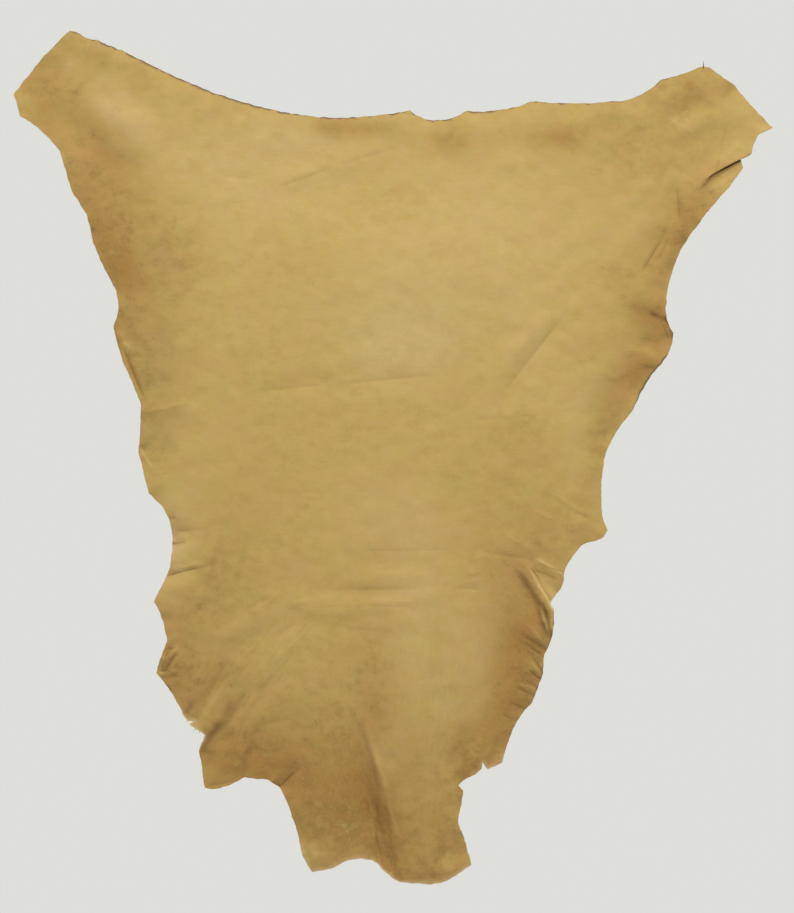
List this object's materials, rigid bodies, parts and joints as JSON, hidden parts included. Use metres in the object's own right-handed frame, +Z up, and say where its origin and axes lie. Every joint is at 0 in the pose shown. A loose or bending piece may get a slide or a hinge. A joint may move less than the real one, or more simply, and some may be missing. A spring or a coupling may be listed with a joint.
{
  "type": "leather hide",
  "caption": "Whole buckskin hide hanging by its two upper corners: one thin, soft suede sheet with a ragged natural outline, a dipping upper edge, loose folds and a narrow neck at the bottom.",
  "frame": {"origin": "middle of the upper edge, half way through the skin, where the edge dips between the two corners that the hide hangs from", "axes": "+X to the right as seen from the front, +Y to the back, +Z up; the face of the skin looks to -Y"},
  "size_m": [1.1447, 0.0688, 1.2854],
  "materials": {
    "tan_leather": "matte golden tan suede"
  },
  "bodies": {
    "root": {"hide": "tan_leather"}
  },
  "joints": []
}
